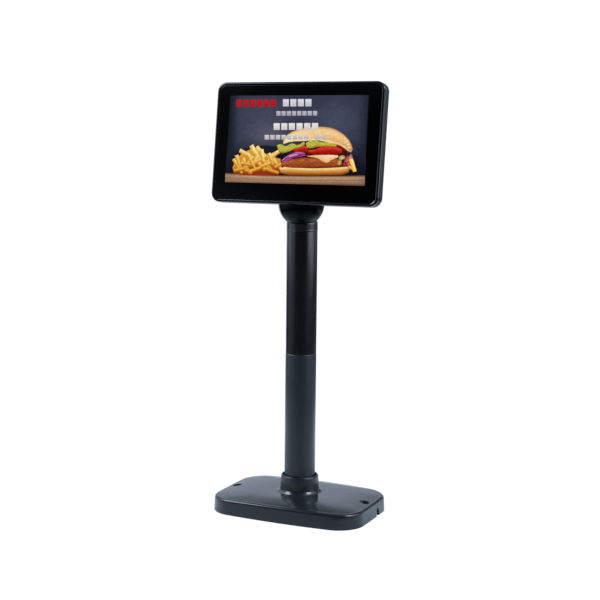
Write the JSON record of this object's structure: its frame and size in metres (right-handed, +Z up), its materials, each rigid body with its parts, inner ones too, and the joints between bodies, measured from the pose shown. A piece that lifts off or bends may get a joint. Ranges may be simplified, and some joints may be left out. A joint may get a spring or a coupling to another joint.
{
  "type": "customer pole display",
  "caption": "Pole-mounted customer display: a small landscape screen head on a ball-shrouded tilt hinge and swivel collar, on a round pole with a low weighted base that rests on a counter.",
  "frame": {"origin": "on the floor under the pole axis, at the centre of the base", "axes": "+Z up along the pole, -Y towards the customer who reads the screen, +X to that viewer's right"},
  "size_m": [0.1844, 0.1142, 0.4429],
  "materials": {
    "base_plastic": "fine-textured semi-gloss moulded ABS, blue-black",
    "socket_plastic": "satin moulded plastic, near black",
    "ballast_steel": "thin black paint on steel plate",
    "lower_tube_paint": "matte powder coat, blue-grey black",
    "upper_tube_paint": "satin paint, near black",
    "inner_plastic": "plain moulded plastic",
    "bearing_plastic": "natural acetal",
    "plated_shell": "nickel-plated sheet",
    "soft_rubber": "soft matte rubber foam",
    "foot_rubber": "matte rubber",
    "cable_jacket": "smooth cable jacket",
    "head_plastic": "glossy black ABS",
    "rear_plastic": "finely textured black ABS",
    "spring_steel": "spring steel",
    "hinge_steel": "stamped steel",
    "screen_glass": "glossy black-printed cover glass, lit picture behind its window",
    "lcd_glass": "liquid crystal panel in a thin metal bezel",
    "chassis_metal": "folded sheet",
    "board_laminate": "green solder mask",
    "flex_ribbon": "polyimide ribbon",
    "screw_steel": "zinc-plated steel"
  },
  "bodies": {
    "stand": {"base_cover": "base_plastic", "base_plate": "ballast_steel", "pole_socket": "socket_plastic", "lower_tube": "lower_tube_paint", "upper_tube": "upper_tube_paint", "tube_joiner": "inner_plastic", "swivel_bush": "bearing_plastic", "io_socket": "plated_shell", "cable_grommet": "soft_rubber", "pole_cable": "cable_jacket", "rubber_foot_1": "foot_rubber", "rubber_foot_2": "foot_rubber", "rubber_foot_3": "foot_rubber", "rubber_foot_4": "foot_rubber", "base_screw_1": "screw_steel", "base_screw_2": "screw_steel", "base_screw_3": "screw_steel", "base_screw_4": "screw_steel", "socket_screw_1": "screw_steel", "socket_screw_2": "screw_steel", "socket_screw_3": "screw_steel"},
    "neck": {"swivel_collar": "head_plastic", "wave_washer": "spring_steel", "retaining_clip": "spring_steel", "hinge_post": "hinge_steel", "hinge_screw_1": "screw_steel", "hinge_screw_2": "screw_steel"},
    "head": {"head_cable": "cable_jacket", "hinge_bracket": "hinge_steel", "hinge_pin_left": "spring_steel", "hinge_pin_right": "spring_steel", "friction_washer_left": "bearing_plastic", "friction_washer_right": "bearing_plastic", "shroud_front": "head_plastic", "shroud_rear": "head_plastic", "front_frame": "head_plastic", "rear_cover": "rear_plastic", "front_glass": "screen_glass", "panel_gasket": "soft_rubber", "lcd_panel": "lcd_glass", "panel_chassis": "chassis_metal", "driver_board": "board_laminate", "cable_connector": "bearing_plastic", "lcd_ribbon": "flex_ribbon", "cover_screw_1": "screw_steel", "chassis_screw_1": "screw_steel", "bracket_screw_1": "screw_steel", "board_screw_1": "screw_steel", "cover_screw_2": "screw_steel", "chassis_screw_2": "screw_steel", "bracket_screw_2": "screw_steel", "board_screw_2": "screw_steel", "cover_screw_3": "screw_steel", "chassis_screw_3": "screw_steel", "bracket_screw_3": "screw_steel", "board_screw_3": "screw_steel", "cover_screw_4": "screw_steel", "chassis_screw_4": "screw_steel", "bracket_screw_4": "screw_steel", "board_screw_4": "screw_steel"}
  },
  "joints": [
    {"name": "swivel", "type": "hinge", "parent": "stand", "child": "neck", "pos_m": [0, 0, 0.2934], "axis": [0, 0, 1], "range_deg": [-160, 160]},
    {"name": "tilt", "type": "hinge", "parent": "neck", "child": "head", "pos_m": [0, -0.0025, 0.3207], "axis": [-1, 0, 0], "range_deg": [-7.5, 30]}
  ]
}
